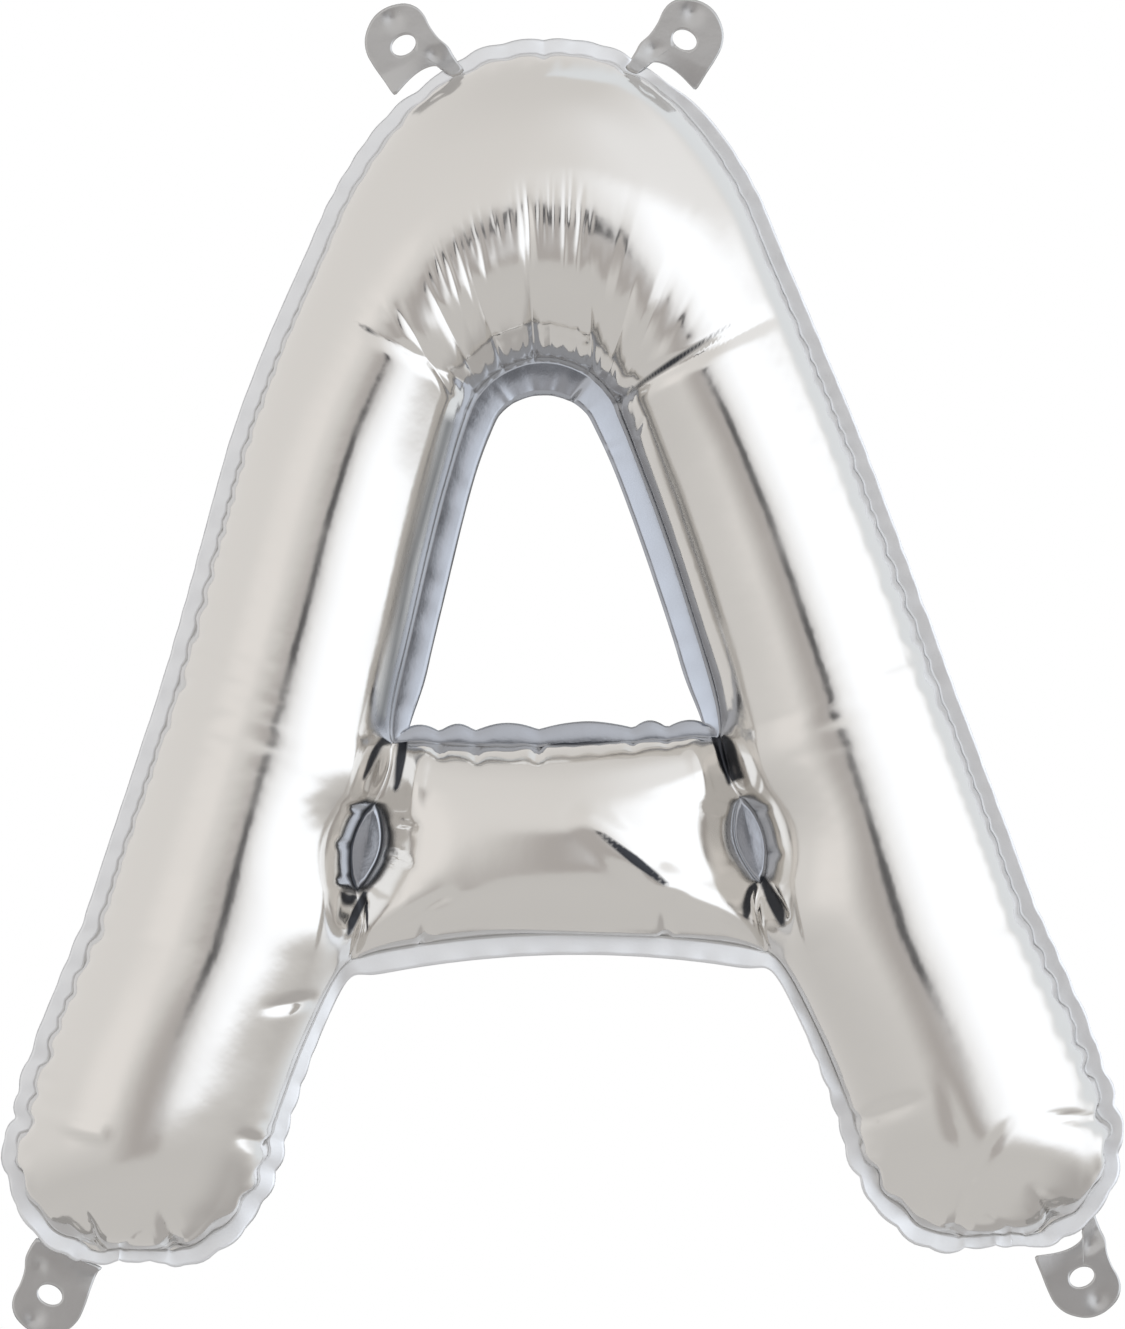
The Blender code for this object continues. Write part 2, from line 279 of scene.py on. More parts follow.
def layOut():
    # the inflated shape, its flat cut, the seam's width at each point, and the grids they share
    rows, first, last = fineRows()
    across, columns = letter["across"], 2 * letter["barColumns"]
    share, outer, inner = rows[:, 7], rows[:, 0:2], rows[:, 2:4]
    bars = last - first
    low = round(letter["islandFrom"] * bars) / bars
    high = round(letter["islandTo"] * bars) / bars
    within = np.clip((share - low) / (high - low), 0, 1)
    island = np.where(share >= 0, letter["islandHalfWidth"] * np.sin(np.pi * within), 0.0)
    island[np.abs(island) < 1e-6] = 0.0
    passage = np.where((share >= 0) & (share < low), np.sin(np.pi * share / low), 0.0)
    passage += np.where(share > high, np.sin(np.pi * (share - high) / (1 - high)), 0.0)
    passage = np.clip(passage, 0, 1) * letter["passage"]
    outward = outer - inner
    outward /= np.linalg.norm(outward, axis=1)[:, None]
    legEdge = inner + outward * island[:, None]
    angle = np.pi * np.arange(across + 1) / across
    rounded = (1 - np.cos(angle)) / 2
    even = np.arange(across + 1) / across
    flatness = np.clip(1 - rows[:, 4] / letter["evenBelow"], 0, 1)[:, None]
    t = rounded[None, :] * (1 - flatness) + even[None, :] * flatness
    arch = np.clip((outer[:, 1] - letter["archFrom"]) / letter["archFade"], 0, 1)
    t = t + letter["archLean"] * arch[:, None] * np.sin(angle)[None, :] ** 2
    # an island pushes in the inner half of the tube only
    shift = np.clip(2 * t - 1, 0, 1)[..., None] * (legEdge - inner)[:, None]
    spot = outer[:, None] * (1 - t)[..., None] + inner[:, None] * t[..., None] + shift
    base = np.where(angle[None, :] > np.pi / 2 + 1e-9, passage[:, None], 0.0)
    height = base + np.maximum(rows[:, 4][:, None] - base, 0) * np.sin(angle)[None, :]
    height[np.abs(height) < 1e-9] = 0
    points, widths = [], []

    def add(x, z, h, width=0.0):
        points.append((x, -h, z))
        widths.append(width)
        return len(points) - 1

    def seamWidth(row, column):
        if column == 0:
            return rows[row, 5]
        if column == across:
            return rows[row, 6]
        return letter["barSeam"] if row == len(rows) - 1 else 0.0

    right = np.array([[add(*spot[r, c], height[r, c], seamWidth(r, c)) for c in range(across + 1)]
                      for r in range(len(rows))])
    mirrored = spot * np.array([-1, 1])
    left = np.array([[right[r, c] if r == 0 else add(*mirrored[r, c], height[r, c], seamWidth(r, c))
                      for c in range(across + 1)] for r in range(len(rows))])
    bar = []
    barEdge = inner - outward * island[:, None]
    for r in range(first, last + 1):
        middle = letter["barDepth"] * math.sqrt(max(0.0, 1 - (2 * share[r] - 1) ** 2))
        line = []
        for j in range(columns + 1):
            u = 1 - 2 * j / columns                         # from the right leg to the left one
            if abs(u) == 1 and island[r] == 0:
                line.append((right if u > 0 else left)[r, across])
                continue
            full = math.sqrt(max(0.0, 1 - abs(u) ** letter["barFullness"]))
            h = passage[r] + max(middle - passage[r], 0) * full if middle > passage[r] else middle
            bow = letter["barHemRise"] * share[r] - letter["barTopSag"] * (1 - share[r])
            z = barEdge[r, 1] * abs(u) + inner[r, 1] * (1 - abs(u)) + bow * (1 - u * u)
            width = letter["barHem"] if r > first else letter["barSeam"] - bow * (1 - u * u)
            line.append(add(barEdge[r, 0] * u, z, h, width))
        bar.append(line)
    bar = np.array(bar)
    points, widths = np.array(points), np.array(widths)

    # unroll: each row of the tube keeps its length on both sides of its ridge
    cut = points * np.array([1, 0, 1])
    for grid in (right, left):
        line = points[grid]
        steps = np.linalg.norm(np.diff(line, axis=1), axis=2)
        run = np.concatenate([np.zeros((len(grid), 1)), np.cumsum(steps, 1)], 1)
        a, b, ridge = line[:, 0], line[:, -1], across // 2
        along = (b - a) / np.linalg.norm(b - a, axis=1)[:, None]
        cut[grid] = line[:, ridge, None] + along[:, None] * (run - run[:, ridge, None])[..., None]
    cut[:, 1] = 0
    cut[right[0], 0] = 0
    spine = points[bar[:, columns // 2]]
    rise = runAlong(spine)
    spineZ = spine[:, 2].mean() + rise[-1] / 2 - rise
    for k in range(len(bar)):
        u = 1 - 2 * np.arange(columns + 1) / columns
        r = first + k
        end = cut[right[r, -1]] - np.array([2 * island[r], 0, 0])
        keep = slice(None) if island[r] else slice(1, -1)
        cut[bar[k, keep], 0] = (end[0] * u)[keep]
        cut[bar[k, keep], 2] = (end[2] * u * u + spineZ[k] * (1 - u * u))[keep]
    return points, cut, widths, [right, left[:, ::-1], bar]


def facesOf(grids):
    return np.concatenate([np.stack([
        g[:-1, :-1].ravel(), g[:-1, 1:].ravel(), g[1:, 1:].ravel(), g[1:, :-1].ravel(),
    ], 1) for g in grids])


def closedGrid(rings, count):
    grid = np.arange(rings * count).reshape(rings, count)
    return np.concatenate([grid, grid[:, :1]], 1)


def faceVectors(points, quads):
    return np.cross(points[quads[:, 2]] - points[quads[:, 0]], points[quads[:, 3]] - points[quads[:, 1]])


def ontoPoints(vectors, quads, count):
    corners = quads.ravel()
    return np.stack([np.bincount(corners, np.repeat(vectors[:, k], 4), count) for k in range(3)], 1)


def uniquePairs(pairs):
    pairs = pairs[pairs[:, 0] != pairs[:, 1]]
    return np.unique(np.sort(pairs, 1), axis=0)


def edgeLoops(quads):
    # the mesh's open edges: the outside, the counter, then the two weld islands
    pairs = np.concatenate([quads[:, [k, (k + 1) % 4]] for k in range(4)])
    pairs = pairs[pairs[:, 0] != pairs[:, 1]]
    where, count = np.unique(np.sort(pairs, 1), axis=0, return_inverse=True, return_counts=True)[1:]
    following = dict(pairs[count[where.ravel()] == 1].tolist())
    loops = []
    while following:
        loop = [next(iter(following))]
        at = following.pop(loop[0])
        while at != loop[0]:
            loop.append(at)
            at = following.pop(at)
        loops.append(np.array(loop))
    return sorted(loops, key=len, reverse=True)


def smoothLoop(values, sigma):
    reach = int(3 * sigma) + 1
    weights = np.exp(-0.5 * (np.arange(-reach, reach + 1) / sigma) ** 2)
    total = sum(w * np.roll(values, k, axis=0) for w, k in zip(weights, range(-reach, reach + 1)))
    return total / weights.sum()


# Blowing it up. Each round spreads the cut's inner points evenly, inflates the film and corrects
# the cut by what the seam is off the letter's outline.
air = {
    "push": 0.004,          # mm a step
    "glide": 0.965,         # share of its speed that the film keeps from step to step
    "squeeze": 0.5,         # how far the film resists being shortened, the rest goes into puckers
    "bend": 0.05,           # how far it resists a sharp fold
    "rounds": (200, 150, 150, 420),     # steps
    "spread": (400, 120),   # passes in the first round, and in the later ones
    "stay": 0.1,            # share of its place that an inner point of the cut keeps in a pass
    "correct": 0.6,         # of the seam's distance from the outline, put back into the cut
    "correctOver": 8.0,     # points of the seam, so that no pucker is cut into the film
    "correctIsland": 3.0,   # and on the short edges of the weld islands
    "islandPoints": 100,    # an edge with no more points than this is an island's
    "pull": 0.02,           # of the seam towards the letter's outline, in the last round
    "startNoise": 0.15,     # mm, which lets the puckers start
    "seed": 7,
}


# Lengths that the film keeps, sorted into groups in which no two share a point.
class Strands:
    def __init__(self, pairs, count, stretch, squeeze):
        used = [0] * count
        colour = np.empty(len(pairs), int)
        for k, (i, j) in enumerate(pairs.tolist()):
            free = ~(used[i] | used[j])
            bit = free & -free
            used[i] |= bit
            used[j] |= bit
            colour[k] = bit.bit_length() - 1
        self.groups = [np.flatnonzero(colour == c) for c in range(colour.max() + 1)]
        self.pairs, self.stretch, self.squeeze = pairs, stretch, squeeze

    def measure(self, flat):
        length = np.linalg.norm(flat[self.pairs[:, 0]] - flat[self.pairs[:, 1]], axis=1)
        self.sets = [(self.pairs[g, 0], self.pairs[g, 1], length[g]) for g in self.groups]

    def tighten(self, x):
        for i, j, rest in self.sets:
            d = x[j] - x[i]
            length = np.sqrt((d * d).sum(1)) + 1e-9
            off = (length - rest) / length
            d *= (np.where(off > 0, self.stretch, self.squeeze) * off * 0.5)[:, None]
            x[i] += d
            x[j] -= d


def inflate():
    shape, cut, widths, grids = layOut()
    quads = facesOf(grids)
    count = len(shape)
    loops = edgeLoops(quads)
    seam = np.concatenate(loops)
    inside = np.setdiff1d(np.arange(count), seam)
    ring = np.concatenate([quads[:, [k, (k + 1) % 4]] for k in range(4)])
    sides = uniquePairs(ring)
    edges = uniquePairs(np.concatenate([ring, quads[:, [0, 2]], quads[:, [1, 3]]]))
    across = uniquePairs(np.concatenate(
        [np.stack([g[:-2].ravel(), g[2:].ravel()], 1) for g in grids]
        + [np.stack([g[:, :-2].ravel(), g[:, 2:].ravel()], 1) for g in grids]))
    weave = Strands(edges, count, 1.0, air["squeeze"])
    bend = Strands(across, count, 0.0, air["bend"])
    degree = np.bincount(sides.ravel(), minlength=count)[:, None]
    x = shape.copy()
    x[inside] += np.random.default_rng(air["seed"]).normal(0, air["startNoise"], (len(inside), 3))
    for turn, steps in enumerate(air["rounds"]):
        final = turn == len(air["rounds"]) - 1
        for _ in range(air["spread"][min(turn, 1)]):
            near = np.zeros((count, 3))
            for k in (0, 2):
                near[:, k] = (np.bincount(sides[:, 0], cut[sides[:, 1], k], count)
                              + np.bincount(sides[:, 1], cut[sides[:, 0], k], count))
            cut[inside] = air["stay"] * cut[inside] + (1 - air["stay"]) * (near / degree)[inside]
        weave.measure(cut)
        bend.measure(cut)
        before = x.copy()
        for _ in range(steps):
            push = ontoPoints(faceVectors(x, quads), quads, count)
            push *= air["push"] / np.linalg.norm(push, axis=1).mean()
            before, x = x, x + (x - before) * air["glide"] + push
            weave.tighten(x)
            bend.tighten(x)
            if final:
                x[seam] += (shape[seam] - x[seam]) * air["pull"]
            x[seam, 1] = 0
            np.minimum(x[:, 1], 0, out=x[:, 1])
        off = [np.linalg.norm((shape - x)[loop], axis=1).mean() for loop in loops]
        print("  round", turn, "each edge is off the outline by, mm:", [round(v, 2) for v in off])
        if not final:
            flat = np.c_[x[seam][:, [0, 2]], np.ones(len(seam))]
            fit = np.linalg.lstsq(flat, shape[seam][:, [0, 2]], rcond=None)[0]
            for points in (cut, x):
                points[:, [0, 2]] = np.c_[points[:, [0, 2]], np.ones(count)] @ fit
            for loop in loops:
                over = air["correctOver"] if len(loop) > air["islandPoints"] else air["correctIsland"]
                cut[loop] += air["correct"] * smoothLoop((shape - x)[loop], over)
    facing = faceVectors(cut, quads)[:, 1]
    print("  folded faces in the cut:", int((facing * np.sign(facing.sum()) < 0).sum()))
    area = abs(facing).sum() / 2 * mm * mm
    size = (cut.max(0) - cut.min(0)) * mm
    return x, shape, widths, grids, (size[0], size[2]), area


blown, shape, blownWidths, grids, cutSize, cutArea = inflate()
cutSides = [round(v, 3) for v in cutSize]
print("film inflated:", len(blown), "points, cut", cutSides, "m, area", round(cutArea, 4))

# Finer rows and columns between the solved ones, four times as many rows round the arch, where
# the finest pleats are. Away from the seams the film then settles towards the smooth shape.
fine = {
    "archRows": 4,
    "rows": 2,
    "columns": 2,
    "archEnds": -64.0,      # Z of the outer edge where the finer rows end
    "settleArch": 0.75,     # how far the blown arch goes back to the smooth shape
    "settleShoulder": 0.94,  # and its right shoulder, the smoothest
    "shoulderFrom": 12.0,   # X of the inner edge where that begins
    "shoulderFade": 4.0,
    "archFade": 1.6,
    "settleBar": 0.8,       # and the crossbar
    "barFade": 4.0,
    "settleLegs": 0.85,     # and the legs
    "legFade": 1.6,
    "settleFoot": 0.75,     # and the feet, with their edge
    "footFrom": -338.0,     # Z
    "footFade": 16.0,
    "sway": 2.4,            # mm by which the letter's shoulders hang to the left of its tabs
    "swayAt": -105.0,       # Z
    "swayReach": 58.0,
}


def curveWeights(count, spots):
    # how much of each of count points a smooth curve through them takes at each spot
    weights = np.zeros((len(spots), count))
    for line, spot in zip(weights, spots):
        i = min(int(spot), count - 2)
        t = spot - i
        first, last = (-t + 2 * t**2 - t**3) / 2, (t**3 - t**2) / 2
        line[i] += (2 - 5 * t**2 + 3 * t**3) / 2
        line[i + 1] += (t + 4 * t**2 - 3 * t**3) / 2
        if i > 0:
            line[i - 1] += first
        else:
            line[0] += 2 * first
            line[1] -= first
        if i + 2 < count:
            line[i + 2] += last
        else:
            line[-1] += 2 * last
            line[-2] -= last
    return weights


def refine():
    right, left, bar = grids
    strip = np.concatenate([left[:0:-1, ::-1], right])         # left foot, apex, right foot
    middle = len(right) - 1
    arch = int((shape[right[:, 0], 2] > fine["archEnds"]).sum())
    spots = []
    for row in range(len(strip) - 1):
        outward = row - middle if row >= middle else middle - 1 - row
        steps = fine["archRows"] if outward < arch else fine["rows"]
        spots += [row + k / steps for k in range(steps)]
    spots = np.array(spots + [len(strip) - 1.0])
    columns = np.arange(0, strip.shape[1] - 1 + 1e-9, 1 / fine["columns"])
    barRows = np.arange(0, len(bar) - 1 + 1e-9, 1 / fine["rows"])
    barColumns = np.arange(0, bar.shape[1] - 1 + 1e-9, 1 / fine["columns"])

    def resample(values, grid, down, along):
        return np.einsum("ab,bcd,ec->aed", curveWeights(grid.shape[0], down), values[grid],
                         curveWeights(grid.shape[1], along))

    first = int(np.flatnonzero(np.isin(right[:, -1], bar[:, 0]))[0])
    values = np.concatenate([blown, shape, blownWidths[:, None]], 1)
    tube = resample(values, strip, spots, columns)
    across = resample(values, bar, barRows, barColumns)
    outward = np.abs(spots - middle)
    rightward = np.clip((tube[:, -1:, 3] - fine["shoulderFrom"]) / fine["shoulderFade"], 0, 1)
    settle = fine["settleArch"] + (fine["settleShoulder"] - fine["settleArch"]) * rightward
    settle = settle * np.clip(2 - outward / arch * fine["archFade"], 0, 1)[:, None]
    middles = np.clip(np.sin(np.pi * columns / columns[-1]) * fine["legFade"], 0, 1)
    settle = np.maximum(settle, fine["settleLegs"] * middles[None, :])
    foot = np.clip((fine["footFrom"] - tube[:, :1, 5]) / fine["footFade"], 0, 1)
    settle = np.maximum(settle, fine["settleFoot"] * foot)
    sideways = np.abs(np.linspace(-1, 1, len(barColumns)))
    settleBar = fine["settleBar"] * np.clip(fine["barFade"] * (1 - sideways), 0, 1)
    tube[..., :3] += (tube[..., 3:6] - tube[..., :3]) * settle[..., None]
    across[..., :3] += (across[..., 3:6] - across[..., :3]) * settleBar[None, :, None]
    tubeAt = np.arange(tube.shape[0] * tube.shape[1]).reshape(tube.shape[:2])
    barAt = tubeAt.size + np.arange(across.shape[0] * across.shape[1]).reshape(across.shape[:2])
    for side, legGrid, column in ((1, right, 0), (-1, left[:, ::-1], -1)):
        for k, spot in enumerate(barRows):
            whole = [int(np.floor(spot)), int(np.ceil(spot))]
            if all(bar[w, column] == legGrid[first + w, -1] for w in whole):
                row = int(np.argmin(np.abs(spots - (middle + side * (first + spot)))))
                barAt[k, column] = tubeAt[row, -1]
    every = np.concatenate([tube.reshape(-1, 7), across.reshape(-1, 7)])
    quads = facesOf([tubeAt, barAt])
    used = np.unique(quads)
    renumber = np.zeros(len(every), int)
    renumber[used] = np.arange(len(used))
    every, quads = every[used], renumber[quads]
    loops = edgeLoops(quads)
    points = every[:, :3]
    points[np.concatenate(loops), 1] = 0
    points[:, 0] -= fine["sway"] * np.exp(-((points[:, 2] - fine["swayAt"]) / fine["swayReach"]) ** 2)
    return points, quads, loops, every[:, 6]


puffed, quads, loops, widths = refine()
seamline = np.concatenate(loops)
print("film refined:", len(puffed), "points, edges of", [len(loop) for loop in loops], "points")

# Creases in the front panel, in millimetres: X Z to X Z, how far their flanks reach, depth (a ridge
# is negative), and the share of the depth that is left at either end.
creases = [
    # the arch's shoulders and its two long creases
    (18.2, -111.3, 73.7, -83.7, 5.0, 1.6, 1.0, 0.0),
    (-24.6, -105.2, -58.1, -86.8, 5.0, 1.4, 1.0, 0.0),
    (-5.7, -48.0, -4.7, -103.6, 3.5, 1.2, 0.1, 1.0),
    (12.6, -66.0, 12.0, -103.0, 3.5, 1.0, 0.1, 1.0),
    (-45.8, -82.2, -30.0, -108.0, 3.0, 0.9, 0.2, 0.8),
    (-36.4, -76.0, -22.0, -104.0, 3.0, 0.9, 0.2, 0.8),
    (-24.2, -69.9, -14.0, -100.0, 3.0, 0.9, 0.2, 0.8),
    (26.0, -76.0, 17.0, -104.0, 3.0, 0.8, 0.2, 0.8),
    # the legs' inner edges
    (-90.9, -293.7, -76.0, -291.7, 4.0, 1.3, 0.0, 0.6),
    (-99.7, -331.6, -87.9, -337.2, 4.0, 1.3, 0.0, 0.6),
    (89.5, -332.0, 110.4, -322.9, 4.5, 1.1, 0.6, 0.0),
    (144.0, -330.0, 168.6, -332.5, 6.0, 2.4, 0.1, 0.8),
    # the feet, in from the seam
    (-144.0, -369.0, -146.0, -351.0, 5.0, 2.2, 1.0, 0.0),
    (-119.0, -369.0, -122.5, -352.0, 5.0, 2.2, 1.0, 0.0),
    (-158.0, -325.0, -140.0, -330.0, 4.0, -0.6, 0.3, 0.8),
    (114.6, -319.0, 122.5, -347.0, 7.0, 1.0, 0.2, 1.0),
    (122.5, -349.0, 118.5, -366.0, 5.0, 1.8, 1.0, 0.8),
    (124.0, -347.0, 137.0, -328.0, 3.2, 0.8, 1.0, 0.0),
    (150.0, -364.0, 140.0, -350.0, 5.0, 1.8, 1.0, 0.0),
    # the crossbar's facets: ridges, then the folds under them
    (16.0, -222.0, 16.0, -262.0, 46.0, -2.6, 0.8, 0.8),
    (10.0, -239.0, 32.0, -258.0, 7.5, -1.3, 0.5, 1.0),
    (32.0, -258.0, 62.0, -272.0, 8.0, -1.5, 1.0, 0.3),
    (-35.0, -261.0, -62.0, -276.0, 6.0, 1.0, 1.0, 0.3),
    (32.4, -264.0, 32.4, -277.0, 2.6, 2.4, 0.0, 1.0),
    (-40.6, -265.0, -41.5, -278.0, 2.6, 2.0, 0.0, 1.0),
    # where it folds into the legs, above and below the weld islands
    (-47.0, -212.0, -49.6, -226.0, 2.6, 1.6, 1.0, 0.6),
    (46.4, -207.0, 51.6, -223.0, 2.6, 1.6, 1.0, 0.6),
    (-59.5, -262.0, -64.0, -268.5, 2.6, 1.4, 0.6, 0.8),
    (62.5, -259.0, 68.5, -268.0, 2.6, 1.4, 0.6, 0.8),
    (-40.5, -214.0, -45.5, -240.0, 4.0, -1.2, 0.6, 0.2),
    (41.5, -214.0, 46.0, -236.0, 4.0, -1.2, 0.6, 0.2),
    (-58.0, -236.0, -66.0, -232.0, 2.2, 1.0, 1.0, 0.0),
    (-60.0, -246.0, -69.0, -244.0, 2.2, 1.2, 1.0, 0.0),
    (-61.5, -254.0, -70.0, -256.0, 2.2, 1.0, 1.0, 0.0),
    (-49.0, -238.0, -41.0, -240.0, 2.2, 1.0, 1.0, 0.0),
    (-51.5, -248.0, -43.0, -252.0, 2.2, 1.2, 1.0, 0.0),
    (58.0, -238.0, 66.0, -235.0, 2.2, 1.0, 1.0, 0.0),
    (60.5, -249.0, 69.0, -250.0, 2.2, 1.2, 1.0, 0.0),
    (50.0, -236.0, 42.0, -233.0, 2.2, 0.9, 1.0, 0.0),
    # pinches in its upper edge
    (-36.0, -209.0, -35.0, -219.0, 3.5, 2.4, 1.0, 0.1),
    (-25.0, -209.0, -24.0, -221.0, 3.2, 2.4, 1.0, 0.1),
    (-5.4, -209.0, -5.8, -222.0, 3.2, 2.6, 1.0, 0.1),
    (24.0, -209.0, 23.0, -219.0, 3.2, 2.2, 1.0, 0.1),
    (34.4, -209.0, 33.5, -218.0, 3.0, 2.0, 1.0, 0.1),
]
pleats = {
    "count": 37,
    "from": -55.0,          # X of the fan's first and last pleats
    "to": 21.0,
    "reach": (1.0, 2.0),    # half width, least and most
    "depth": (0.05, 0.24),
    "length": (0.08, 0.26),  # share of the tube's width
    "ridge": 0.56,          # share of the tube's width where the fan has its middle
    "long": (-44.0, -39.0, -31.0, -11.5, -8.6, 8.5, 15.0),  # X of those that run on to the counter
    "longShares": (0.46, 0.88),     # of the tube's width, from and to
    "longReach": 1.6,
    "longDepth": 0.26,
    "puckers": 15,          # short ones, round the counter's arch
    "puckersTo": 27.0,      # X of the last, on either side
    "puckerLength": (0.05, 0.12),   # share of the tube's width
    "puckerReach": 2.2,
    "puckerDepth": 0.45,
}


def archPleats(seed):
    rng = np.random.default_rng(seed)
    rows = np.array(letterRows)[:12]
    found = []

    def add(x, column, shares, *press):
        # across the tube, from its outer edge (column 0) or its inner one (2), where that is at x
        section = [np.interp(abs(x), rows[:, column], rows[:, c]) for c in range(4)]
        a, b = (section[:2], section[2:]) if column == 0 else (section[2:], section[:2])
        side = 1 if x > 0 else -1
        ends = [(side * (a[0] + (b[0] - a[0]) * t), a[1] + (b[1] - a[1]) * t) for t in shares]
        found.append((*ends[0], *ends[1], *press))

    for k in range(pleats["count"]):
        spot = (k + rng.uniform(0.1, 0.9)) / pleats["count"]        # a little uneven
        half = rng.uniform(*pleats["length"]) / 2
        middle = pleats["ridge"] + rng.uniform(-0.05, 0.05)
        press = (rng.uniform(*pleats["reach"]), rng.uniform(*pleats["depth"]), 0.0, 0.0)
        x = pleats["from"] + (pleats["to"] - pleats["from"]) * spot
        add(x, 0, (middle - half, middle + half), *press)
    for x in pleats["long"]:
        add(x, 0, pleats["longShares"], pleats["longReach"], pleats["longDepth"], 0.3, 0.0)
    for k in range(pleats["puckers"]):
        x = (2 * (k + rng.uniform(0.2, 0.8)) / pleats["puckers"] - 1) * pleats["puckersTo"]
        inward = rng.uniform(*pleats["puckerLength"])
        add(x, 2, (0, inward), pleats["puckerReach"], pleats["puckerDepth"], 1.0, 0.0)
    return found


# Painted shade, which darkens the film's colour along folds so tight that the film is tucked in on itself,
# and in a band beside the counter's weld on the left. Columns: X Z to X Z, reach, strength, and the share
# of that at either end.
paintedShadeFolds = [
    (-46.2, -209.0, -49.4, -228.0, 2.6, 1.0, 0.55),
    (45.6, -201.0, 52.6, -228.0, 2.4, 1.0, 0.55),
    (-59.0, -258.5, -64.5, -272.0, 2.4, 0.9, 0.55),
    (62.0, -256.5, 68.0, -271.0, 2.6, 1.0, 0.55),
    (13.3, -243.0, 32.0, -257.5, 2.2, 0.9, 0.55),
    (-2.0, -216.4, 19.5, -216.0, 2.2, 0.9, 0.55),
    (19.0, -111.5, 55.0, -89.0, 2.3, 0.6, 0.55),
    (-50.5, -91.5, -59.0, -86.0, 2.1, 0.5, 0.55),
    (-31.0, -117.0, -43.5, -160.0, 10.0, 0.4, 1.0),
    (-43.5, -160.0, -53.6, -208.0, 10.0, 0.4, 1.0),
]
islandPaintedShade = {"left": 0.45, "right": 0.33, "reach": 1.6}     # painted shade: strength, right round each weld island
foldOnset = 1.5             # mm above the weld plane, over which a fold sets in


def acrossFold(spots, x0, z0, x1, z1, reach):
    a, b = np.array([x0, z0]), np.array([x1, z1])
    t = np.clip(((spots - a) @ (b - a)) / ((b - a) @ (b - a)), 0, 1)
    gap = np.clip(np.linalg.norm(spots - a - t[:, None] * (b - a), axis=1) / reach, 0, 1)
    return t, gap


# painted shade: how dark each point of a panel is painted, from the folds above and round the weld islands
def paintFoldShade(spots):
    painted_fold_shade = np.zeros(len(spots))
    for *fold, strength, ends in paintedShadeFolds:
        t, gap = acrossFold(spots, *fold)
        painted_fold_shade = np.maximum(painted_fold_shade, strength * (1 - gap) * np.interp(t, [0, 0.5, 1], [ends, 1, ends]))
    for loop in loops[2:4]:
        gap = np.linalg.norm(spots[:, None] - spots[loop], axis=2).min(1)
        strength = islandPaintedShade["left" if spots[loop, 0].mean() < 0 else "right"]
        painted_fold_shade = np.maximum(painted_fold_shade, strength * np.exp(-(gap / islandPaintedShade["reach"]) ** 2))
    return painted_fold_shade


def pressCreases(points, folds):
    normal = ontoPoints(faceVectors(points, quads), quads, len(points))
    normal /= np.linalg.norm(normal, axis=1)[:, None]
    depth = np.zeros(len(points))
    spots = points[:, [0, 2]]
    for *fold, deepest, start, end in folds:
        t, gap = acrossFold(spots, *fold)
        flank = (1 - gap) ** 2 if deepest > 0 else (1 - gap**2) ** 2
        depth += deepest * flank * np.interp(t, [0, 0.5, 1], [start, 1, end])
    depth *= 1 - np.exp(points[:, 1] / foldOnset)
    pressed = points - normal * depth[:, None]
    pressed[:, 1] = np.minimum(pressed[:, 1], 0)
    pressed[seamline] = points[seamline]
    return pressed


# the back has the same creases the other way round, and pleats of its own
turned = [(-x0, z0, -x1, z1, *rest) for x0, z0, x1, z1, *rest in creases]
frontFilm = addObject("front_film", pressCreases(puffed, creases + archPleats(3)) * mm, quads, film)
backPoints = pressCreases(puffed, turned + archPleats(8)) * np.array([1, -1, 1])
backFilm = addObject("back_film", backPoints * mm, quads[:, ::-1], film)
# each panel keeps its painted fold shade as a point attribute, which the film's material reads
for panel, side in ((frontFilm, 1), (backFilm, -1)):
    painted_fold_shade = paintFoldShade(puffed[:, [0, 2]] * [side, 1])
    panel.data.attributes.new("painted_fold_shade", "FLOAT", "POINT").data.foreach_set("value", painted_fold_shade)
print("film panels made:", len(quads), "faces each")

# The welded seams, in millimetres.
seams = {
    "rings": 6,             # faces across a seam
    "thickness": 0.18,
    "smooth": 2.0,          # points, of the cut edge against the seam line
    "rippleLength": 15.0,
    "rippleHeight": 0.25,
    "outerRipple": 0.6,     # shares of that height
    "counterRipple": 0.4,
    "wander": 9.0,          # radians by which the ripples drift
    "wanderOver": 9.0,      # points
    "lean": 0.9,            # the outer seam's cut edge curls this far back, and forward along the
                            # right side, the feet and the crossbar's hem
    "curl": 1.0,            # power with which the lean grows across the outer seam
    "counterLean": 0.9,
    "counterLeft": 0.7,     # the lean on the counter's left side
    "counterRight": -1.3,   # and on its right side, where it is forward
    "counterSide": 12.0,    # X beyond which those sides begin
    "counterCurl": 2.5,
    "counterRightCurl": 1.2,
    "islandRise": 0.2,      # of a weld island's middle, to the front
    "islandRings": 5,
    "pinches": (-49.0, -36.1, -25.1, -5.5, 24.0, 34.4, 49.0),   # X, in the crossbar's upper seam
    "scallop": 2.2,         # of its cut edge between two pinches
    "barTop": (-215.0, 9.0),    # Z of that seam, and reach
    "footScallop": 0.8,
    "footScallopLength": 9.5,
    "footFrom": -300.0,     # Z where the feet's scallops begin
    "footFade": 20.0,
    "tabNotch": 2.2,        # the seam is narrower at an upper tab's root
    "tabNotchReach": 11.0,
}
# Each tab's fold line: X and Z of its middle, in millimetres, and the tab's direction from there.
foldPoints = {
    "top_left_tab": (-38.263, -10.172, -0.48022, 0.87715),
    "top_right_tab": (38.263, -10.172, 0.48022, 0.87715),
    "bottom_left_tab": (-152.842, -371.627, -0.43366, -0.90108),
    "bottom_right_tab": (152.842, -371.627, 0.43366, -0.90108),
}


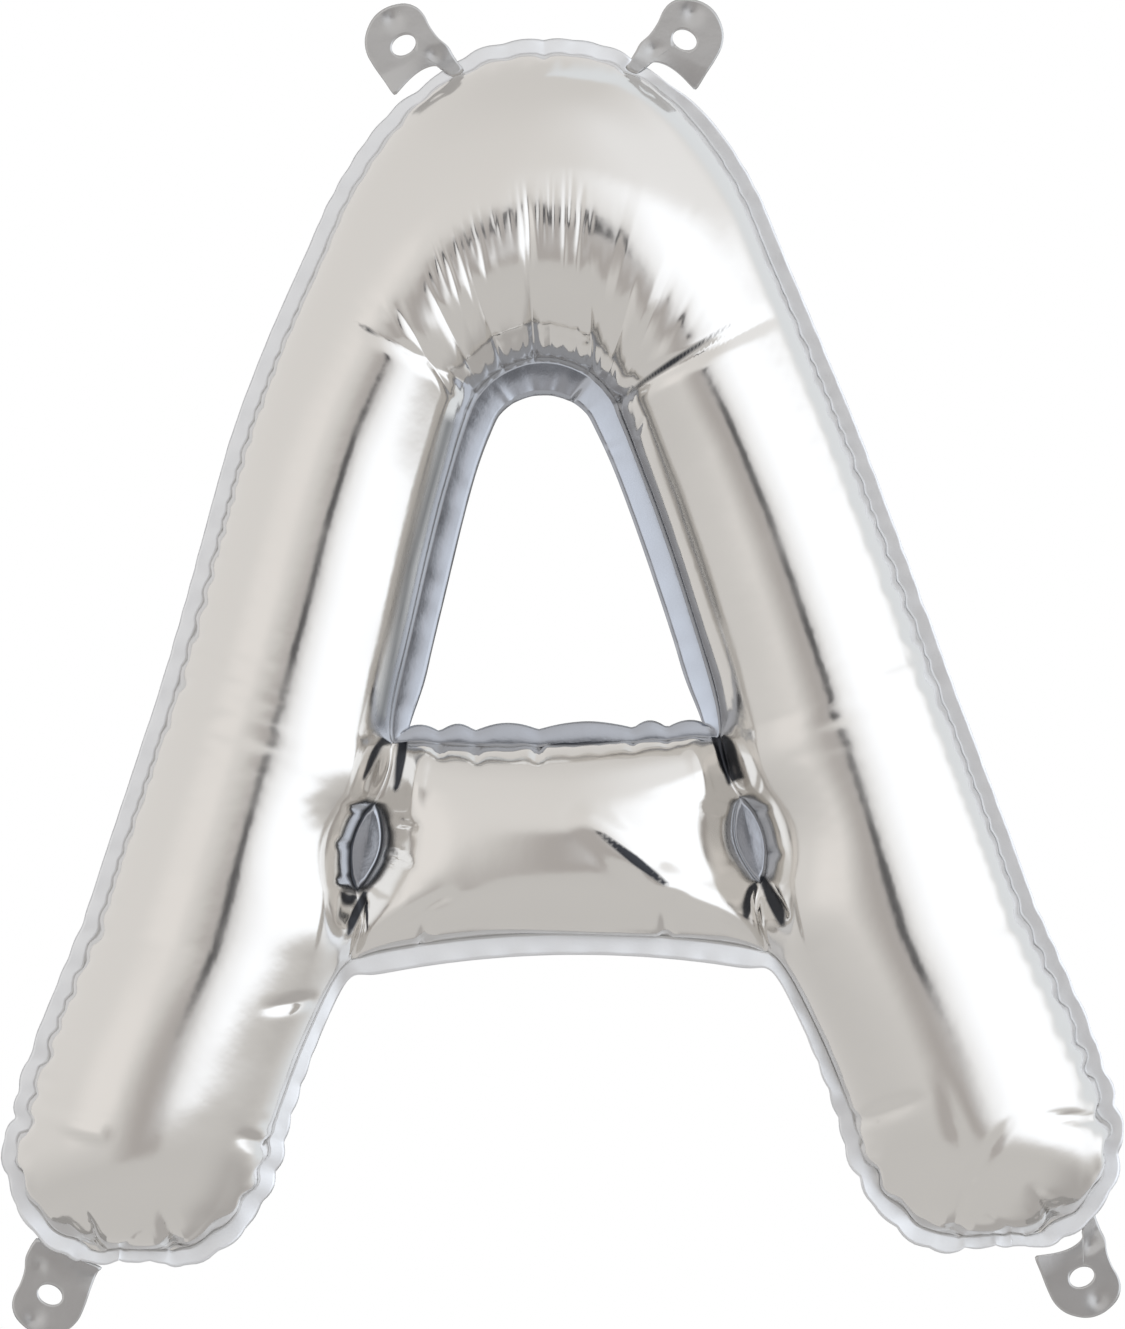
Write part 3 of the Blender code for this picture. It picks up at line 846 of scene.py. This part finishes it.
def seamBand(name, loop, material, lean, curl, rippled):
    edge = puffed[loop][:, [0, 2]]
    calm = smoothLoop(edge, 1.5)
    ahead = np.roll(calm, -1, 0) - np.roll(calm, 1, 0)
    ahead /= np.linalg.norm(ahead, axis=1)[:, None]
    out = smoothLoop(np.stack([ahead[:, 1], -ahead[:, 0]], 1), 2.0)
    out /= np.linalg.norm(out, axis=1)[:, None]
    width = smoothLoop(widths[loop], 3.0)
    for tabName, (fx, fz, *_) in foldPoints.items():
        if tabName.startswith("top"):
            gap = np.hypot(edge[:, 0] - fx, edge[:, 1] - fz)
            width = width - seams["tabNotch"] * np.exp(-(gap / seams["tabNotchReach"]) ** 2)
    pinches = np.array(seams["pinches"])
    between = np.clip(np.searchsorted(pinches, edge[:, 0]), 1, len(pinches) - 1)
    share = (edge[:, 0] - pinches[between - 1]) / (pinches[between] - pinches[between - 1])
    barZ, barReach = seams["barTop"]
    upperBar = (np.abs(edge[:, 0]) < pinches[-1]) & (np.abs(edge[:, 1] - barZ) < barReach)
    upperBar = upperBar & (out[:, 1] > 0.6)
    scallop = np.where(upperBar, seams["scallop"] * (np.sin(np.pi * np.clip(share, 0, 1)) - 0.6), 0.0)
    run = runAlong(edge)
    foot = np.clip((seams["footFrom"] - edge[:, 1]) / seams["footFade"], 0, 1)
    lobes = seams["footScallop"] * foot * (np.abs(np.sin(np.pi * run / seams["footScallopLength"])) - 0.5)
    rim = smoothLoop(edge, seams["smooth"]) + out * (width + scallop + lobes)[:, None]
    turns = max(1, round(run[-1] / seams["rippleLength"]))
    phase = 2 * np.pi * turns * run / (run[-1] + 1e-9)
    drift = np.random.default_rng(len(loop)).normal(0, 1, len(loop))
    drift = smoothLoop(drift, seams["wanderOver"]) * seams["wander"]
    ripple = seams["rippleHeight"] * rippled * np.sin(phase + drift) * np.where(upperBar, 0, 1)
    if name == "counter_seam_band":
        side = seams["counterSide"]
        rightSide = smoothLoop(np.where((edge[:, 0] > side) & (out[:, 0] < -0.6), 1.0, 0.0), 3.0)
        leftSide = smoothLoop(np.where((edge[:, 0] < -side) & (out[:, 0] > 0.6), 1.0, 0.0), 3.0)
        tilt = lean + (seams["counterRight"] - lean) * rightSide + (seams["counterLeft"] - lean) * leftSide
        curl = curl + (seams["counterRightCurl"] - curl) * rightSide
    else:
        low = (out[:, 1] < -0.35) & (edge[:, 1] < -250) & ~((edge[:, 0] < 0) & (out[:, 0] > 0.7))
        right = (out[:, 0] > 0.5) & (edge[:, 0] > 0) & (edge[:, 1] > -345)
        tilt = smoothLoop(np.where(low | right, -lean, lean), 3.0)
    points = []
    for k in range(seams["rings"] + 1):
        t = k / seams["rings"]
        flat = edge * (1 - t) + rim * t
        points.append(np.stack([flat[:, 0], ripple * t * t + tilt * t**curl, flat[:, 1]], 1))
    faces = facesOf([closedGrid(len(points), len(loop))])
    band = addObject(name, np.concatenate(points) * mm, faces, material)
    thicken(band, seams["thickness"])
    return band


outerBand = seamBand("outer_seam_band", loops[0], rimWeld,
                     seams["lean"], seams["curl"], seams["outerRipple"])
counterBand = seamBand("counter_seam_band", loops[1], weld,
                       seams["counterLean"], seams["counterCurl"], seams["counterRipple"])


def weldIsland(name, loop):
    edge = puffed[loop][:, [0, 2]]
    centre = edge.mean(0)
    rings = seams["islandRings"]
    points = []
    for k in range(rings):
        t = 1 - k / rings
        flat = centre + (edge - centre) * t
        height = np.full(len(flat), -seams["islandRise"] * (1 - t * t) ** 2)
        points.append(np.stack([flat[:, 0], height, flat[:, 1]], 1))
    points.append(np.array([[centre[0], -seams["islandRise"], centre[1]]]))
    count = len(loop)
    grid = closedGrid(rings, count)
    faces = facesOf([grid]).tolist()
    faces += [[grid[-1, k], grid[-1, k + 1], rings * count] for k in range(count)]
    # painted shade: the islands take the counter band's darker weld colour
    island = addObject(name, np.concatenate(points) * mm, faces, weld)
    thicken(island, seams["thickness"])
    return island


islands = sorted(loops[2:4], key=lambda loop: puffed[loop, 0].mean())
leftIsland = weldIsland("left_weld_island", islands[0])
rightIsland = weldIsland("right_weld_island", islands[1])
print("seams and weld islands made")

# Hanging tabs, in millimetres from the middle of the fold line: across, along.
tab = {
    "thickness": 0.3,
    "hole": (0.6, 11.1),
    "holeAcross": 3.9,      # half widths
    "holeAlong": 2.9,
    "points": 112,          # round the outline
    "rings": 12,            # from the hole to the outline
    "dents": [(2.0, 19.8, 2.6, 0.55), (7.4, 4.0, 1.8, 0.35)],   # across, along, radius, depth
    "twist": 0.09,          # each tab is turned a little to the left, about its length
    "twistFade": 6.0,       # along, from none at the fold line
    "neck": (-1.5, 2.5),    # along: where the neck at the fold begins and ends
}
tongue = [(12.3, 1.0), (12.2, 4.0), (10.9, 7.8), (10.4, 12.0), (10.6, 16.0), (9.8, 19.2), (7.6, 21.8),
          (4.4, 23.3), (0.9, 23.9), (-2.6, 23.4), (-5.8, 21.7), (-8.9, 18.6), (-10.5, 14.6),
          (-10.6, 10.0), (-10.1, 4.7), (-9.8, 0.4)]
neckRoot = [(-9.3, -0.9), (-8.0, -0.6), (-3.4, 0.9), (0.8, 1.6), (4.2, 1.3), (6.4, 0.2), (7.6, -1.9),
            (8.9, -4.9), (12.6, -4.9), (12.5, -2.0)]
fullRoot = [(-9.9, -1.6), (-10.2, -3.2), (-5.0, -3.2), (0.0, -3.2), (5.0, -3.2), (11.0, -3.2), (12.0, -1.6)]


def roundedOutline(corners, count):
    corners = np.array(corners, float)
    dense = []
    for i in range(len(corners)):
        four = [corners[(i + k) % len(corners)] for k in (-1, 0, 1, 2)]
        dense += [curveThrough(*four, t) for t in np.arange(0, 1, 0.1)]
    closed = np.array(dense + dense[:1])
    run = runAlong(closed)
    spots = np.linspace(0, run[-1], count, endpoint=False)
    return np.stack([np.interp(spots, run, closed[:, k]) for k in (0, 1)], 1)


def hangingTab(name, neckSide, root):
    fx, fz, dx, dz = foldPoints[name]
    outline = roundedOutline(tongue + root, tab["points"])
    centre = np.array(tab["hole"])
    turn = np.arctan2(outline[:, 1] - centre[1], outline[:, 0] - centre[0])
    hole = centre + np.stack([tab["holeAcross"] * np.cos(turn), tab["holeAlong"] * np.sin(turn)], 1)
    rings = []
    for k in range(tab["rings"] + 1):
        rings.append(hole + (outline - hole) * (k / tab["rings"]))
    flat = np.concatenate(rings)
    y = np.zeros(len(flat))
    for across, along, radius, depth in tab["dents"]:
        gap = np.hypot(flat[:, 0] - across, flat[:, 1] - along)
        y += depth * np.exp(-(gap / radius) ** 2)
    sideX, sideZ = neckSide * dz, -neckSide * dx
    flatX = sideX * flat[:, 0] + dx * flat[:, 1]
    flatZ = fz + sideZ * flat[:, 0] + dz * flat[:, 1]
    y -= tab["twist"] * flatX * np.clip(flat[:, 1] / tab["twistFade"], 0, 1)
    points = np.stack([fx + flatX, y, flatZ], 1)
    grid = closedGrid(len(rings), tab["points"])
    if neckSide > 0:
        grid = grid[:, ::-1]
    piece = addObject(name + "_film", points * mm, facesOf([grid]), tabFilm)
    thicken(piece, tab["thickness"])
    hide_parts(name)
    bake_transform(piece)


hangingTab("top_left_tab", 1, neckRoot)
hangingTab("top_right_tab", -1, neckRoot)
hangingTab("bottom_left_tab", 1, fullRoot)
hangingTab("bottom_right_tab", -1, neckRoot)
print("tabs made")

# What stands for what.
for piece, node, slotName in (
    (frontFilm, "front_foil", "film"),
    (backFilm, "back_foil", "film"),
    (outerBand, "outer_seam", "welded_film"),
    (counterBand, "counter_seam", "welded_film"),
    (leftIsland, "left_junction_web", "welded_film"),
    (rightIsland, "right_junction_web", "welded_film"),
):
    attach(piece, "envelope")
    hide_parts(node)

# The studio, in metres.
studio = {
    "cameraAway": 1.8,
    "frameHeight": 0.4075,  # of what the picture shows at the letter
    "aim": (0.0023, 0.0, -0.1909),
    "roll": 1.0,            # degrees
    "floor": -0.92,         # Z
    "floorRadius": 3.4,
    "floorCorners": 96,
    "floorColour": "F4F4F4",
    "floorRoughness": 0.9,
    "floorGrain": 260.0,    # a metre
    "floorGrainHeight": 0.0002,
}
aim = Vector(studio["aim"])
cameraData = bpy.data.cameras.new("camera")
cameraData.lens = cameraData.sensor_width * studio["cameraAway"] / studio["frameHeight"]
camera = bpy.data.objects.new("camera", cameraData)
bpy.context.scene.collection.objects.link(camera)
camera.location = aim + Vector((0, -studio["cameraAway"], 0))
camera.rotation_euler = (math.radians(90), math.radians(studio["roll"]), 0)
bpy.context.scene.camera = camera

# Matt white paint, rolled on: even, with no gloss, so that only the letter shines.
floorPaint, tree, shader = newMaterial("matt white studio floor", {
    "Base Color": studio["floorColour"], "Roughness": studio["floorRoughness"],
})
place = addNode(tree, "TexCoord").outputs["Object"]
grain = addNode(tree, "TexNoise", {
    "Vector": place, "Scale": studio["floorGrain"], "Detail": 2.0,
}).outputs[0]
grainBump = addNode(tree, "Bump", {"Height": grain, "Distance": studio["floorGrainHeight"]}).outputs[0]
tree.links.new(grainBump, shader.inputs["Normal"])
angles = np.linspace(0, 2 * math.pi, studio["floorCorners"], endpoint=False)
rim = [(studio["floorRadius"] * math.cos(a), studio["floorRadius"] * math.sin(a), studio["floor"])
       for a in angles]
floor = addObject("floor", rim, [list(range(len(rim)))], floorPaint)
floor.visible_glossy = False    # the film sees the tent instead, which is darker near the floor

# The light tent. Angles are in degrees, to the right of the camera's side and above the level. A
# patch sets in between the first two and ends between the last two, across and up.
tent = {
    # the cloth is grey-white, darker towards the floor and the zenith: height and brightness
    "cloth": [(-90, 0.66), (-45, 0.67), (-30, 0.66), (-18, 0.73), (-5, 0.80), (15, 0.835), (45, 0.81),
              (70, 0.76), (90, 0.745)],
    "warmth": 0.02,
    "patches": [
        # level with the letter, the cloth on the left is lighter half way round
        {"across": ((-75, -48), (-24, -36)), "up": ((-16, -2), (24, 10)), "light": (0.95, 0.925, 0.905)},
        # low on the right the room is darker
        {"across": ((45, 105), None), "up": ((-78, -58), (-24, -34)), "light": (0.50, 0.485, 0.475)},
        # the photographer's dark side of the room, left of the camera and below it
        {"across": ((-32, -8), (14, 3)), "up": ((-31, -26), (11, -2)), "light": (0.50, 0.475, 0.46)},
        # the big lit panel on the right, with its glow on the cloth above
        {"across": ((-10, 34), (124, 92)), "up": ((-25, -16), (34, 20)), "light": (1.33, 1.37, 1.43),
         "glow": ((-5, 10), (76, 45), 0.32)},
        # and the cloth that it lights behind it
        {"across": ((100, 120), (178, 140)), "up": ((-28, -14), None), "light": (0.88, 0.92, 0.96)},
        # the camera itself
        {"across": ((-4.5, -1.5), (4.2, 2.8)), "up": ((-5.5, -2.5), (6.5, 3)),
         "light": (0.05, 0.05, 0.055)},
    ],
    "backdrop": (1.0, 1.0, 1.0),    # what the camera sees behind the letter
}
world = bpy.data.worlds.new("light tent")
bpy.context.scene.world = world
world.use_nodes = True
tree = world.node_tree
tree.nodes.clear()


def calc(operation, a, b=0.0):
    return addNode(tree, "Math", {0: a, 1: b}, operation=operation).outputs[0]


def soften(value, start, end, full=1.0):
    return addNode(tree, "MapRange", {
        "Value": value, "From Min": start, "From Max": end, "To Min": 0.0, "To Max": full,
    }, interpolation_type="SMOOTHSTEP").outputs[0]


def patchShare(value, rise, fall, full=1.0):
    share = soften(value, *rise)
    return calc("MULTIPLY", share, soften(value, *fall, full)) if fall else share


def blendColour(share, a, b):
    return addNode(tree, "Mix", {0: share, 6: a, 7: (*b, 1.0)}, data_type="RGBA").outputs[2]


def ramp(share, stops):
    node = addNode(tree, "ValToRGB", {0: share})
    elements = node.color_ramp.elements
    while len(elements) < len(stops):
        elements.new(0.5)
    for element, (position, *colour) in zip(elements, stops):
        element.position = position
        element.color = (*colour, 1.0)
    return node.outputs[0]


way = addNode(tree, "SeparateXYZ", {0: addNode(tree, "TexCoord").outputs["Generated"]})
azimuth = calc("ARCTAN2", way.outputs[0], calc("MULTIPLY", way.outputs[1], -1.0))
azimuth = calc("MULTIPLY", azimuth, 180 / math.pi)
elevation = calc("MULTIPLY", calc("ARCSINE", way.outputs[2]), 180 / math.pi)
warm, cool = 1 + tent["warmth"], 1 - tent["warmth"]
stops = [(degrees / 180 + 0.5, grey * warm, grey, grey * cool) for degrees, grey in tent["cloth"]]
tentLight = ramp(calc("ADD", calc("DIVIDE", elevation, 180), 0.5), stops)
for patch in tent["patches"]:
    wide = patchShare(azimuth, *patch["across"])
    high = patchShare(elevation, *patch["up"])
    if "glow" in patch:
        high = calc("MAXIMUM", high, patchShare(elevation, *patch["glow"]))
    tentLight = blendColour(calc("MULTIPLY", wide, high), tentLight, patch["light"])
seen = addNode(tree, "LightPath").outputs["Is Camera Ray"]
backdrop = blendColour(seen, tentLight, tent["backdrop"])
background = addNode(tree, "Background", {"Color": backdrop, "Strength": 1.0})
addNode(tree, "OutputWorld", {0: background.outputs[0]})

lamps = [
    ("overhead", (0.0, 0.2, 1.8), 2.4, 18),         # name, place, size, watts
    ("left_panel", (-2.0, -0.8, 0.6), 1.8, 8),
]
for name, spot, size, power in lamps:
    data = bpy.data.lights.new(name, "AREA")
    data.size, data.energy = size, power
    lamp = bpy.data.objects.new(name, data)
    lamp.location = spot
    lamp.rotation_euler = (aim - Vector(spot)).to_track_quat("-Z", "Y").to_euler()
    lamp.visible_camera = False
    lamp.visible_glossy = False
    bpy.context.scene.collection.objects.link(lamp)
bpy.context.scene.view_settings.view_transform = "Standard"
print("studio set up")
